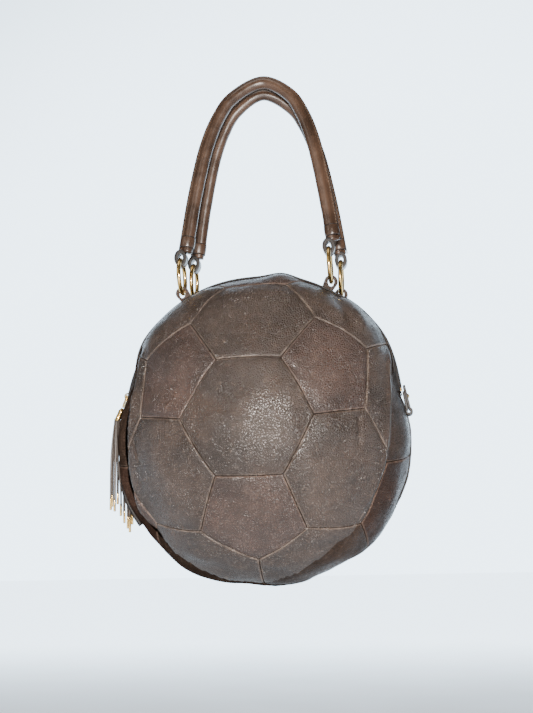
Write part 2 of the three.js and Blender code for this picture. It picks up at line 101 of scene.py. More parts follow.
def bell(x, width):
    return np.exp(-((x / width) ** 2))


def off_line(points, a, b):
    """How far points are from a straight stretch, and the share along it where each comes nearest."""
    run = b - a
    t = np.clip((points - a) @ run / run.dot(run), 0, 1)
    return np.linalg.norm(points - a - t[:, None] * run, axis=1), t


def soft_noise(points, size, seed):
    """Smooth noise from -1 to 1 at each point, with bumps of about that size."""
    shift = Vector((seed * 7.3, seed * 3.1, seed * 5.7))
    return np.array([noise.noise(Vector(p) / size + shift) for p in points])


# ---- Camera, light and floor ----


def add_camera():
    azimuth, elevation, roll = (math.radians(a) for a in (7, -6.6, -1.0))
    distance = 1.24
    lens, sensor, width, height = 60.6, 36, 533, 713
    ball_at = (263.6 / width - 0.5, 0.5 - 429.4 / height)  # where the ball's centre falls, as shares
    level = math.cos(elevation)
    back = Vector((math.sin(azimuth) * level, -math.cos(azimuth) * level, math.sin(elevation)))
    camera = bpy.data.objects.new("camera", bpy.data.cameras.new("camera"))
    camera.data.lens = lens
    camera.data.sensor_width = sensor
    camera.data.clip_start = 0.01
    bpy.context.collection.objects.link(camera)
    camera.location = Vector(BALL_CENTER) + back * distance
    focal = lens / sensor * height
    yaw = math.atan2(ball_at[0] * width, focal)
    pitch = math.atan2(-ball_at[1] * height, focal)
    facing = back.to_track_quat("Z", "Y").to_matrix().to_4x4()
    turn = Matrix.Rotation(yaw, 4, "Y") @ Matrix.Rotation(pitch, 4, "X") @ Matrix.Rotation(roll, 4, "Z")
    camera.matrix_world = Matrix.Translation(camera.location) @ facing @ turn
    bpy.context.scene.camera = camera


def add_area_light(name, place, aim, size, power):
    light = bpy.data.lights.new(name, "AREA")
    light.shape = "DISK"
    light.size = size
    light.energy = power
    light.color = (1.0, 0.93, 0.86)
    lamp = bpy.data.objects.new(name, light)
    bpy.context.collection.objects.link(lamp)
    lamp.location = place
    lamp.rotation_euler = (Vector(place) - Vector(aim)).to_track_quat("Z", "Y").to_euler()


def add_studio():
    aim = Vector(BALL_CENTER) + Vector((0.02, -0.1, -0.01))
    add_area_light("key_light", (0.17, -1.45, -0.28), aim, 0.2, 47)
    add_area_light("fill_light", (-0.9, -0.9, 0.3), aim, 0.8, 2.5)
    add_area_light("top_light", (-0.1, -0.2, 0.75), aim, 0.6, 2)
    light_world()
    floor_z = cad_box[0][2] - 0.16
    bpy.ops.mesh.primitive_plane_add(size=60, location=(0, 0, floor_z))
    floor = bpy.context.object
    floor.name = "floor"
    floor.data.materials.append(floor_finish())


def light_world():
    """A dim room with a bright wall far behind the bag."""
    world = bpy.context.scene.world = bpy.data.worlds.new("pale_room")
    world.use_nodes = True
    nodes, links = world.node_tree.nodes, world.node_tree.links
    background = nodes["Background"]
    place = nodes.new("ShaderNodeTexCoord")
    split = nodes.new("ShaderNodeSeparateXYZ")
    links.new(place.outputs["Generated"], split.inputs["Vector"])
    toward_back = nodes.new("ShaderNodeMapRange")
    toward_back.interpolation_type = "SMOOTHSTEP"
    for key, value in {"From Min": 0.7, "From Max": 0.93, "To Min": 0.16, "To Max": 5.2}.items():
        toward_back.inputs[key].default_value = value
    links.new(split.outputs["Y"], toward_back.inputs["Value"])
    links.new(toward_back.outputs["Result"], background.inputs["Strength"])
    wall = nodes.new("ShaderNodeMix")
    wall.data_type = "RGBA"
    links.new(toward_back.outputs["Result"], wall.inputs[0])
    near_color, far_color = wall.inputs[6], wall.inputs[7]
    near_color.default_value = (1.0, 0.95, 0.9, 1)
    far_color.default_value = (0.7, 0.86, 1.0, 1)
    links.new(wall.outputs[2], background.inputs["Color"])


# ---- Materials ----


class Finish:
    """One material: short calls that add shader nodes and link them."""

    def __init__(self, name):
        self.material = bpy.data.materials.new(name)
        self.material.use_nodes = True
        self.tree = self.material.node_tree
        self.surface = self.tree.nodes["Principled BSDF"]
        self.place = self.add("ShaderNodeTexCoord", {}).outputs["Object"]

    def add(self, kind, inputs, **settings):
        made = self.tree.nodes.new(kind)
        for key, value in settings.items():
            setattr(made, key, value)
        for key, value in inputs.items():
            self.plug(made.inputs[key], value)
        return made

    def plug(self, socket, value):
        if isinstance(value, bpy.types.NodeSocket):
            self.tree.links.new(value, socket)
        else:
            socket.default_value = value

    def set(self, **inputs):
        for key, value in inputs.items():
            self.plug(self.surface.inputs[key.replace("_", " ")], value)

    def noise(self, scale, detail=2.0, roughness=0.5, at=None):
        inputs = {"Vector": at or self.place, "Scale": scale, "Detail": detail, "Roughness": roughness}
        return self.add("ShaderNodeTexNoise", inputs).outputs["Fac"]

    def cells(self, scale, at):
        inputs = {"Vector": at, "Scale": scale, "Randomness": 0.95}
        return self.add("ShaderNodeTexVoronoi", inputs, feature="DISTANCE_TO_EDGE").outputs["Distance"]

    def stretched(self, x, y, z):
        return self.add("ShaderNodeMapping", {"Vector": self.place, "Scale": (x, y, z)}).outputs["Vector"]

    def warped(self, scale, amount):
        swirl = self.add("ShaderNodeTexNoise", {"Vector": self.place, "Scale": scale}).outputs["Color"]
        moved = self.add("ShaderNodeVectorMath", {0: swirl, 1: (-0.5, -0.5, -0.5)}, operation="ADD")
        sized = self.add("ShaderNodeVectorMath", {0: moved.outputs[0], "Scale": amount}, operation="SCALE")
        shifted = self.add("ShaderNodeVectorMath", {0: self.place, 1: sized.outputs[0]}, operation="ADD")
        return shifted.outputs[0]

    def math(self, operation, a, b=0.0):
        return self.add("ShaderNodeMath", {0: a, 1: b}, operation=operation).outputs[0]

    def ramp(self, value, low, high, to_low=0.0, to_high=1.0):
        inputs = {"Value": value, "From Min": low, "From Max": high, "To Min": to_low, "To Max": to_high}
        return self.add("ShaderNodeMapRange", inputs, interpolation_type="SMOOTHSTEP").outputs["Result"]

    def mix(self, share, a, b):
        made = self.add("ShaderNodeMix", {}, data_type="RGBA")
        for key, value in {"Factor": share, "A": a, "B": b}.items():
            socket = next(s for s in made.inputs if s.name == key and s.enabled)
            self.plug(socket, value)
        return next(s for s in made.outputs if s.enabled)

    def bump(self, height, strength, distance, under=None):
        inputs = {"Height": height, "Strength": strength, "Distance": distance}
        if under is not None:
            inputs["Normal"] = under
        return self.add("ShaderNodeBump", inputs).outputs["Normal"]

    def attribute(self, name):
        return self.add("ShaderNodeAttribute", {}, attribute_name=name).outputs["Fac"]


def color(r, g, b):
    return (r, g, b, 1)


def tinted(base, factor):
    return color(*(min(1, c * factor) for c in base))


def leather_finish(name, base, grain=440, gloss=0.3, wear_and_highlight=None, seams=False):
    """Pebbled leather: grain cells, fine pores, cloudy colour and worn seams, darker in patches near them;
    on the front's sides, painted shade down the left fold's crevice and wear with a painted highlight along
    the right fold's ridge.
    """
    f = Finish(name)
    loose = f.warped(210, 0.0022)
    pebbles = f.ramp(f.cells(grain, loose), 0.0, 0.22)
    fine = f.noise(grain * 2.4, 3, 0.62)
    cloud = f.noise(19, 5, 0.62)
    blotches = f.noise(70, 4, 0.66, f.stretched(1, 1, 1.8))
    rubbed = f.noise(150, 4, 0.7)
    dark, light, deep = (tinted(base, factor) for factor in (0.55, 1.5, 0.28))
    shine = 0.62
    tone = f.mix(f.ramp(cloud, 0.32, 0.68), dark, light)
    tone = f.mix(f.ramp(blotches, 0.45, 0.7, 0.0, 0.5), tone, dark)
    tone = f.mix(f.ramp(rubbed, 0.56, 0.72, 0.0, 0.45), tone, wear_and_highlight or light)
    tone = f.mix(f.ramp(pebbles, 0.0, 0.9, 0.6, 0.0), tone, deep)
    tone = f.mix(f.ramp(fine, 0.56, 0.74, 0.0, 0.3), tone, wear_and_highlight or light)
    if seams:
        from_seam = f.attribute("seam_distance")
        wide = f.noise(48, 3, 0.6)
        patchy = f.ramp(f.noise(110, 3, 0.65), 0.36, 0.64, 0.3, 1.0)
        edge = f.math("MULTIPLY", f.ramp(from_seam, 0.25, 0.7), f.ramp(from_seam, 0.9, 2.2, 1.0, 0.0))
        tone = f.mix(f.math("MULTIPLY", edge, patchy), tone, wear_and_highlight)
        # Darker in patches up to 13 mm from the seams.
        darker_near_seams = f.ramp(from_seam, 2.0, 13.0, 0.55, 0.0)
        tone = f.mix(f.math("MULTIPLY", darker_near_seams, f.ramp(wide, 0.35, 0.65, 0.3, 1.0)), tone, dark)
        tone = f.mix(f.ramp(from_seam, 0.1, 0.4, 1.0, 0.0), tone, color(0.012, 0.008, 0.006))
        from_ridge, from_crevice = f.attribute("ridge_distance"), f.attribute("crevice_distance")
        # Lighter along the right fold's ridge: worn leather, and in part a painted highlight.
        ridge = f.math("ABSOLUTE", f.math("SUBTRACT", from_ridge, 0.6))
        tone = f.mix(f.math("MULTIPLY", f.ramp(ridge, 0.3, 1.6, 0.75, 0.0), patchy), tone, wear_and_highlight)
        # Painted shade: a near-black line down the crevice behind the left fold, where the strip goes in
        # under the front.
        crevice = f.math("ABSOLUTE", from_crevice)
        tone = f.mix(f.ramp(crevice, 2.2, 4.2, 1.0, 0.0), tone, color(0.001, 0.0008, 0.0006))
        # The strips behind the folds are dull.
        left = f.ramp(from_crevice, 3.0, 9.0, 0.0, shine)
        shine = f.math("MINIMUM", left, f.ramp(from_ridge, -9.0, -1.0, 0.06, shine))
    rough = f.ramp(f.noise(33, 3, 0.6), 0.3, 0.7, gloss - 0.08, gloss + 0.08)
    rough = f.math("ADD", rough, f.ramp(pebbles, 0.0, 1.0, 0.12, 0.0))
    height = f.math("ADD", f.math("MULTIPLY", pebbles, 0.7), f.math("MULTIPLY", fine, 0.4))
    shape = f.bump(f.noise(120, 4, 0.6), 0.32, 0.0011)
    f.set(Base_Color=tone, Roughness=rough, Specular_IOR_Level=shine)
    f.set(Normal=f.bump(height, 1.0, 0.0007, shape))
    return f.material


def smooth_leather_finish(name, base, gloss):
    """Smooth rolled leather: long fine creases, cloudy colour and a waxed gloss."""
    f = Finish(name)
    cloud = f.noise(34, 4, 0.6)
    pores = f.noise(1400, 2, 0.5)
    lines = f.noise(120, 3, 0.7, f.stretched(1, 1, 0.22))
    light = tinted(base, 1.4)
    tone = f.mix(f.ramp(cloud, 0.3, 0.7), tinted(base, 0.55), light)
    tone = f.mix(f.ramp(lines, 0.5, 0.75, 0.0, 0.45), tone, light)
    rough = f.ramp(cloud, 0.3, 0.7, gloss, gloss + 0.14)
    height = f.math("ADD", f.math("MULTIPLY", pores, 0.4), lines)
    f.set(Base_Color=tone, Roughness=rough, Normal=f.bump(height, 0.35, 0.0003))
    f.set(Coat_Weight=0.12, Coat_Roughness=0.32)
    return f.material


def edge_paint_finish():
    f = Finish("black_edge_paint")
    cloud = f.noise(160, 3, 0.6)
    tone = f.mix(f.ramp(cloud, 0.35, 0.7), color(0.007, 0.006, 0.006), color(0.024, 0.019, 0.017))
    f.set(Base_Color=tone, Roughness=f.ramp(cloud, 0.3, 0.7, 0.42, 0.6))
    f.set(Normal=f.bump(f.noise(620, 3, 0.6), 0.25, 0.0003), Specular_IOR_Level=0.3)
    return f.material


def brass_finish():
    f = Finish("polished_brass")
    cloud = f.noise(120, 4, 0.62)
    scratches = f.noise(900, 2, 0.6, f.stretched(1, 0.1, 1))
    tone = f.mix(f.ramp(cloud, 0.35, 0.72), color(0.83, 0.56, 0.2), color(0.62, 0.4, 0.14))
    f.set(Base_Color=tone, Roughness=f.ramp(cloud, 0.3, 0.75, 0.12, 0.3))
    f.set(Normal=f.bump(scratches, 0.12, 0.0001), Metallic=1.0)
    return f.material


def woven_finish(name, base, thread):
    """Woven cloth: two crossed rows of threads."""
    f = Finish(name)
    threads = {"Vector": f.place, "Scale": thread, "Distortion": 0.6, "Detail": 1.0}
    rows = [f.add("ShaderNodeTexWave", threads, bands_direction=d).outputs["Fac"] for d in "XYZ"]
    weave = f.math("MULTIPLY", f.math("MAXIMUM", rows[0], rows[2]), rows[1])
    tone = f.mix(f.ramp(weave, 0.1, 0.9), color(*base), tinted(base, 1.9))
    f.set(Base_Color=tone, Roughness=f.ramp(f.noise(300), 0.3, 0.7, 0.75, 0.95))
    f.set(Normal=f.bump(weave, 0.5, 0.0004))
    return f.material


def thread_finish():
    f = Finish("waxed_thread")
    twist = f.noise(1800, 2, 0.5, f.stretched(1, 1, 0.4))
    tone = f.mix(twist, color(0.05, 0.035, 0.025), color(0.15, 0.11, 0.08))
    f.set(Base_Color=tone, Roughness=f.ramp(twist, 0.2, 0.8, 0.5, 0.7), Normal=f.bump(twist, 0.5, 0.0002))
    return f.material


def floor_finish():
    f = Finish("pale_floor")
    tone = f.mix(f.ramp(f.noise(1.5, 2), 0.3, 0.7), color(0.84, 0.88, 0.93), color(0.87, 0.91, 0.96))
    f.set(Base_Color=tone, Roughness=f.ramp(f.noise(9), 0.3, 0.7, 0.7, 0.85))
    away = f.add("ShaderNodeSeparateXYZ", {"Vector": f.place}).outputs["Y"]
    # Painted light: the floor glows, more strongly further back, so that it fades into the bright wall
    # behind.
    f.set(Emission_Color=color(0.7, 0.86, 1.0), Emission_Strength=f.ramp(away, 0.1, 1.9, 0.3, 3.9))
    return f.material


hexagon_leather = leather_finish(
    "hexagon_leather_finish", (0.045, 0.029, 0.0212), wear_and_highlight=color(0.19, 0.14, 0.11), seams=True
)
pentagon_leather = leather_finish(
    "pentagon_leather_finish", (0.051, 0.0295, 0.022), wear_and_highlight=color(0.2, 0.135, 0.105), seams=True
)
tab_leather = leather_finish("tab_leather_finish", (0.07, 0.042, 0.03), 800, 0.42)
facing_leather = leather_finish("facing_leather_finish", (0.035, 0.025, 0.02), 800, 0.5)
handle_leather = smooth_leather_finish("handle_leather_finish", (0.05, 0.027, 0.016), 0.26)
lace_leather = smooth_leather_finish("lace_leather_finish", (0.036, 0.025, 0.018), 0.46)
edge_paint = edge_paint_finish()
brass = brass_finish()
tape_cloth = woven_finish("zip_tape_finish", (0.012, 0.011, 0.011), 420)
lining_cloth = woven_finish("lining_finish", (0.06, 0.042, 0.032), 300)
thread = thread_finish()


# ---- Mesh helpers ----


def new_object(name, points, faces, material):
    mesh = bpy.data.meshes.new(name)
    mesh.from_pydata(np.asarray(points, float).tolist(), [], faces)
    mesh.materials.append(material)
    made = bpy.data.objects.new(name, mesh)
    bpy.context.collection.objects.link(made)
    return made


def add_piece(name, points, faces, material, body, slot, replaces=()):
    piece = new_object(name, points, faces, material)
    finish_mesh(piece.data)
    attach(piece, body)
    if replaces:
        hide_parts(*replaces)
    return piece


def finish_mesh(mesh):
    """Welds doubled points, turns the faces outwards and shades them smooth."""
    shape = bmesh.new()
    shape.from_mesh(mesh)
    bmesh.ops.remove_doubles(shape, verts=shape.verts, dist=1e-7)
    bmesh.ops.recalc_face_normals(shape, faces=shape.faces)
    for face in shape.faces:
        face.smooth = True
    shape.to_mesh(mesh)
    shape.free()


def apply_modifiers(piece):
    """Replaces a piece's mesh with what its modifiers make of it."""
    made = bpy.data.meshes.new_from_object(piece.evaluated_get(bpy.context.evaluated_depsgraph_get()))
    piece.modifiers.clear()
    made.name = piece.data.name
    piece.data = made


def thicken(piece, thickness):
    """Makes a sheet solid, inwards from its faces."""
    shell = piece.modifiers.new("thickness", "SOLIDIFY")
    shell.thickness = thickness
    shell.offset = -1
    apply_modifiers(piece)


def dress(name, material, width):
    """Gives a CAD node a material and soft edges, and keeps its shape."""
    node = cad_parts[name]
    node.data.materials.clear()
    node.data.materials.append(material)
    edges = node.modifiers.new("soft_edges", "BEVEL")
    edges.width = width
    edges.segments = 2
    edges.limit_method = "ANGLE"
    edges.angle_limit = math.radians(35)


class Build:
    """Points and faces gathered from several simple shapes into one piece."""

    def __init__(self):
        self.points = []
        self.faces = []

    def take(self, points, faces):
        start = len(self.points)
        self.points.extend(np.asarray(points, float).tolist())
        self.faces.extend(tuple(i + start for i in face) for face in faces)

    def piece(self, name, material, body, slot, replaces=()):
        return add_piece(name, self.points, self.faces, material, body, slot, replaces)


def grid_faces(rows, columns, wrap_rows=False):
    """Four-sided faces between rows of points, each row closed into a ring."""
    faces = []
    for r in range(rows if wrap_rows else rows - 1):
        for c in range(columns):
            a, b = r * columns + c, r * columns + (c + 1) % columns
            up = ((r + 1) % rows - r) * columns
            faces.append((a, b, b + up, a + up))
    return faces


def capped_faces(rows, columns):
    """The same, with a face over each end."""
    last = (rows - 1) * columns
    return grid_faces(rows, columns) + [tuple(range(columns)), tuple(range(last, last + columns))]


def sweep(path, sections, side, closed=False):
    """A section carried along a path. Each section is [across, out] pairs, and side points across."""
    path = np.asarray(path, float)
    if closed:
        along = unit(np.roll(path, -1, 0) - np.roll(path, 1, 0))
    else:
        along = unit(np.gradient(path, axis=0))
    side = np.broadcast_to(np.asarray(side, float), path.shape)
    across = unit(side - (side * along).sum(1, keepdims=True) * along)
    out = np.cross(across, along)
    sections = np.broadcast_to(np.asarray(sections, float), (len(path), *np.shape(sections)[-2:]))
    points = path[:, None] + sections[..., :1] * across[:, None] + sections[..., 1:] * out[:, None]
    shape = len(path), sections.shape[1]
    return points.reshape(-1, 3), grid_faces(*shape, True) if closed else capped_faces(*shape)


def circle(radius, count=16):
    turn = np.linspace(0, 2 * math.pi, count, endpoint=False)
    return np.column_stack((np.cos(turn), np.sin(turn))) * radius


def rounded_box(width, height, corner, steps=4):
    """The outline of a rectangle with round corners."""
    points = []
    half = np.array((width, height)) / 2 - corner
    for k, signs in enumerate(((1, 1), (-1, 1), (-1, -1), (1, -1))):
        for turn in np.linspace(k * math.pi / 2, (k + 1) * math.pi / 2, steps):
            points.append(signs * half + corner * np.array((math.cos(turn), math.sin(turn))))
    return np.array(points)


def lathe(profile, start, axis, count=24):
    """A solid turned about an axis from [radius, along] points that start and end on the axis."""
    axis = unit(axis)
    first = unit(np.cross(axis, (0.3, 1, 0.2)))
    second = np.cross(axis, first)
    turn = np.linspace(0, 2 * math.pi, count, endpoint=False)
    round_axis = np.outer(np.cos(turn), first) + np.outer(np.sin(turn), second)
    rings = [np.asarray(start) + axis * along + radius * round_axis for radius, along in profile]
    return np.concatenate(rings), capped_faces(len(rings), count)


def smooth_line(points, count):
    """Evenly spaced points on a centripetal Catmull-Rom line through the given ones."""
    p = np.asarray(points, float)
    p = np.concatenate(([2 * p[0] - p[1]], p, [2 * p[-1] - p[-2]]))
    fine = []
    for a, b, c, d in zip(p[:-3], p[1:-2], p[2:-1], p[3:]):
        t0, t1, t2 = (math.sqrt(np.linalg.norm(v - u)) for u, v in ((a, b), (b, c), (c, d)))
        start = ((b - a) / t0 - (c - a) / (t0 + t1) + (c - b) / t1) * t1
        end = ((c - b) / t1 - (d - b) / (t1 + t2) + (d - c) / t2) * t1
        t = np.linspace(0, 1, 40, endpoint=False)[:, None]
        from_b = (2 * t**3 - 3 * t**2 + 1) * b + (t**3 - 2 * t**2 + t) * start
        fine.append(from_b + (3 * t**2 - 2 * t**3) * c + (t**3 - t**2) * end)
    fine = np.concatenate((*fine, p[-2:-1]))
    length = np.concatenate(([0], np.cumsum(np.linalg.norm(np.diff(fine, axis=0), axis=1))))
    even = np.linspace(0, length[-1], count)
    return np.column_stack([np.interp(even, length, fine[:, k]) for k in range(3)])


# ---- The ball: a football's hexagons and pentagons ----

RIM_BAND = 0.2  # corners this near the middle plane sit on the rim
PANEL_ROWS = (28, 42)  # rows of faces from a panel's middle to its edge, and on the folded panels
LIP = {"width": 0.0021, "depth": 0.0017}  # how a panel's edge rolls into its seam
PUFF = {"height": 0.0016, "reach": 0.015}
FOLD_LINES = {  # on each side, from the top down, where the full front droops over the strip by the rim
    -1: (
        (-0.8, -0.3, 0.5), (-0.818, -0.446, 0.362), (-0.841, -0.533, 0.095), (-0.85, -0.523, -0.068),
        (-0.846, -0.497, -0.191), (-0.822, -0.45, -0.349), (-0.775, -0.37, -0.52), (-0.66, -0.36, -0.66),
    ),
    1: (
        (0.84, -0.2, 0.5), (0.888, -0.379, 0.26), (0.881, -0.469, 0.062), (0.864, -0.5, -0.061),
        (0.829, -0.509, -0.23), (0.749, -0.506, -0.428), (0.645, -0.489, -0.587),
    ),
}
# The painted shade line behind the left fold lies this far along the strip.
CREVICE_BEHIND = 17.5  # millimetres from the left fold, along the strip, to where it meets the front
FAR = 40  # millimetres: too far from a fold to matter


def football_panels():
    """Each panel's middle and corners as unit vectors, one hexagon at the front over a pentagon."""
    golden = (1 + math.sqrt(5)) / 2
    tips = []
    for one in (-1, 1):
        for long in (-golden, golden):
            tips += [(0, one, long), (one, long, 0), (long, 0, one)]
    tips = [np.array(t, float) for t in tips]

    def near(a, b):
        return a is not b and abs(np.linalg.norm(a - b) - 2) < 0.01

    def cut(a, b):
        return unit(2 * a + b)

    panels = [(unit(t), [cut(t, o) for o in tips if near(t, o)]) for t in tips]
    triangles = []
    for i, a in enumerate(tips):
        for j, b in enumerate(tips[i + 1 :], i + 1):
            for c in tips[j + 1 :]:
                if near(a, b) and near(b, c) and near(a, c):
                    triangles.append((a, b, c))
                    corners = [cut(a, b), cut(b, a), cut(b, c), cut(c, b), cut(c, a), cut(a, c)]
                    panels.append((unit(a + b + c), corners))
    front = triangles[0]
    y_axis = -unit(sum(front))
    z_axis = -unit(front[0] - front[0].dot(y_axis) * y_axis)
    turn = np.array((np.cross(y_axis, z_axis), y_axis, z_axis))
    return [(turn @ middle, [drifted(turn @ corner) for corner in corners]) for middle, corners in panels]


def drifted(corner):
    """The bag isn't quite even, so the front's corners have moved a little to the left."""
    if corner[1] > -RIM_BAND:
        return corner
    hand = -1 if corner[0] < 0 else 1
    shift, level, reach, grows, fades = DRIFT[hand]
    out = abs(corner[0])
    share = float(smooth(out, *grows) * (1 - smooth(out, *fades)))
    shift *= share * math.exp(-(((corner[2] - level) / reach) ** 2))
    return unit(corner + (hand * shift, 0, 0))


def panel_name(middle, corners):
    half = "front" if middle[1] < 0 else "rear"
    shape = "pentagon" if len(corners) == 5 else "hexagon"
    out = abs(middle[1])
    if out > 0.99:
        return f"{half}_center_{shape}"
    hour = round((90 - math.degrees(math.atan2(middle[2], middle[0]))) / 30)
    return f"{half}_{'middle' if out > 0.5 else 'rim'}_{shape}_{(hour + 11) % 12 + 1}"


def rim_point(angle, side, opening=MOUTH):
    above = np.degrees(np.arcsin(np.sin(angle)))
    lower = opening["lower_gap"]
    gap = lower + (opening["half_width"] - lower) * smooth(above, opening["closed_at"], opening["full_at"])
    y = side * gap / BALL_HALF[1]
    across = np.sqrt(1 - y * y)
    return np.stack((across * np.cos(angle), y, across * np.sin(angle)), -1)


def edge_points(a, b, t, side):
    """Unit vectors along a panel's edge, at shares t from corner a to corner b."""
    on_rim = [abs(corner[1]) < RIM_BAND for corner in (a, b)]
    angles = [math.atan2(corner[2], corner[0]) for corner in (a, b)]
    if all(on_rim):
        span = math.remainder(angles[1] - angles[0], 2 * math.pi)
        return rim_point(angles[0] + span * t, side)
    ends = [rim_point(g, side) if rim else corner for corner, g, rim in zip((a, b), angles, on_rim)]
    return unit(ends[0] + np.outer(t, ends[1] - ends[0]))


def sorted_around(middle, corners):
    first = unit(corners[0] - corners[0].dot(middle) * middle)
    second = np.cross(middle, first)
    return sorted(corners, key=lambda corner: math.atan2(corner.dot(second), corner.dot(first)))


def fullness(units):
    """How much further out than an ellipse the ball's shoulders are, seen from the front."""
    x, z = units[..., 0], units[..., 2]
    power = FULLNESS["power"] + FULLNESS["uneven"] * x
    across = np.maximum(np.hypot(x, z), 1e-9)
    total = np.abs(x / across) ** power + np.abs(z / across) ** power
    full = 1 + (np.maximum(total, 0.5) ** (-1 / power) - 1) * across**2
    return np.stack((full, np.ones_like(full), full), -1)


def on_ball(units, height=0.0):
    outward = unit(units / BALL_HALF)
    return BALL_CENTER + units * BALL_HALF * fullness(units) + outward * np.reshape(height, (-1, 1))


def panel_grid(middle, corners):
    """Unit vectors and faces of a fine fan of triangles over a panel, closest near its edge."""
    side = math.copysign(1, middle[1])
    around = sorted_around(middle, corners)
    sectors = list(zip(around, around[1:] + around[:1]))

    def outline(shares):
        return np.concatenate([edge_points(a, b, shares, side) for a, b in sectors])

    centre = unit(outline(np.linspace(0, 1, 3, endpoint=False)).sum(0))
    units = [centre[None]]
    rows = PANEL_ROWS[int(middle[1] < 0 and abs(middle[0]) > 0.5)]
    for row in range(1, rows + 1):
        reach = 1 - (1 - row / rows) ** 1.6
        units.append(unit(centre + (outline(np.arange(row) / row) - centre) * reach))
    count = len(sectors)
    start = [0] + [1 + count * r * (r - 1) // 2 for r in range(1, rows + 2)]
    faces = []
    for row in range(1, rows + 1):
        outer, inner = start[row], start[row - 1]
        for k in range(count):
            for i in range(row):
                a = outer + k * row + i
                b = outer + (k * row + i + 1) % (count * row)
                c = inner if row == 1 else inner + (k * (row - 1) + i) % (count * (row - 1))
                faces.append((a, b, c))
                if i > 0:
                    d = inner + k * (row - 1) + i - 1
                    faces.append((a, c, d))
    return np.concatenate(units), faces, outline(np.linspace(0, 1, 13))


def distance_to_edge(points, edge):
    """The distance from each point to the nearest of an outline's short stretches."""
    best = np.full(len(points), 9.0)
    for a, b in zip(edge, np.roll(edge, -1, 0)):
        if np.linalg.norm(b - a) > 1e-6:
            best = np.minimum(best, off_line(points, a, b)[0])
    return best


def lip_height(distance):
    share = np.clip(1 - distance / LIP["width"], 0, 1)
    return -LIP["depth"] * (1 - np.sqrt(np.maximum(0, 1 - share * share)))


def fold_distance(units, hand):
    """Millimetres from a side's fold, positive on the front's side of it, and the share along it."""
    line = [unit(v) for v in FOLD_LINES[hand]]
    best = np.full(len(units), 9.0)
    share = np.zeros(len(units))
    normals = np.zeros((len(units), 3))
    for k, (a, b) in enumerate(zip(line, line[1:])):
        off, t = off_line(units, a, b)
        closer = off < best
        best = np.where(closer, off, best)
        share = np.where(closer, (k + t) / (len(line) - 1), share)
        normals = np.where(closer[:, None], unit(np.cross(a, b)) * hand, normals)
    ahead = (units * normals).sum(1) < 0
    return np.where(ahead, best, -best) * BALL_HALF[0] / MM, share


def side_fold(units):
    """On the left the front overhangs the strip by the rim in a deep fold, on the right in a soft ridge."""
    height = np.zeros(len(units))
    for hand, lip, wide, drop, steep in ((-1, 2.4, 9, 4.8, 1.7), (1, 2.2, 6, 3.4, 4)):
        away, share = fold_distance(units, hand)
        ends = smooth(share, 0.0, 0.1) * smooth(-share, -1.0, -0.8)
        front = lip * bell(np.maximum(away - 1.5, 0), wide) * smooth(away, -steep, steep)
        strip = -drop * smooth(-away, -steep, steep) * (1 - 0.65 * smooth(-away, 14, 46))
        near = (units[:, 0] * hand > 0.3) & (units[:, 1] < 0.02)
        height += ends * near * (front + strip) * MM
    return height


UNEVEN = (  # where the outline hangs out or in: degrees round the rim, width, mm, reach from the rim
    (203, 19, 6.5, 0.42),
    (161, 10, -7.5, 0.75),
    (144, 8, 1.5, 0.5),
    (81, 6, 4.4, 0.5),
    (60, 7, -1.6, 0.5),
    (13, 11, -5.5, 0.6),
    (-62, 11, -4.0, 0.7),
    (-118, 13, 3.5, 0.7),
)


def sag(units):
    """How far the soft bag hangs out or in beside the seam between its halves."""
    angle = np.degrees(np.arctan2(units[:, 2], units[:, 0]))
    height = np.zeros(len(units))
    for middle, width, tall, reach in UNEVEN:
        away = (angle - middle + 180) % 360 - 180
        height += tall * MM * bell(away, width) * bell(units[:, 1], reach)
    return height


def creases(points):
    """A few soft creases and dents, each a short line [x, z] with its height and width, on the front."""
    lines = (
        ((0.101, -0.002), (0.1, -0.028), -0.0016, 0.0022),
        ((-0.121, -0.016), (-0.115, -0.036), -0.0012, 0.002),
        ((0.046, 0.085), (0.047, 0.062), -0.001, 0.004),
        ((0.033, 0.054), (0.044, 0.042), -0.0012, 0.003),
        ((0.088, 0.132), (0.105, 0.092), 0.0022, 0.006),
        ((0.08, 0.128), (0.096, 0.09), -0.0018, 0.005),
        ((-0.06, 0.118), (-0.048, 0.092), -0.0014, 0.006),
        ((-0.075, -0.13), (-0.03, -0.141), -0.0016, 0.005),
        ((-0.03, -0.133), (0.02, -0.146), -0.0014, 0.004),
        ((0.03, -0.128), (0.075, -0.118), -0.0016, 0.005),
    )
    flat = (points - BALL_CENTER)[:, (0, 2)]
    height = np.zeros(len(points))
    for start, end, tall, wide in lines:
        off = off_line(flat, np.array(start), np.array(end))[0]
        height += tall * bell(off, wide) * (points[:, 1] < 0)
    return height


def panel_height(units, distance):
    base = on_ball(units)
    height = lip_height(distance)
    height += PUFF["height"] * (1 - np.exp(-distance / PUFF["reach"]))
    away = smooth(distance, 0, 0.004)
    height += 0.002 * soft_noise(base, 0.062, 1) + 0.0011 * soft_noise(base, 0.026, 2) * away
    ripple = soft_noise(base, 0.0075, 3) * np.exp(-distance / 0.007) * away
    height += 0.0008 * ripple
    lower = smooth(-units[:, 2], 0.55, 0.95)
    height += 0.0016 * lower * soft_noise(base * (0.45, 1, 1.6), 0.02, 4)
    return height + creases(base) + side_fold(units) + sag(units)


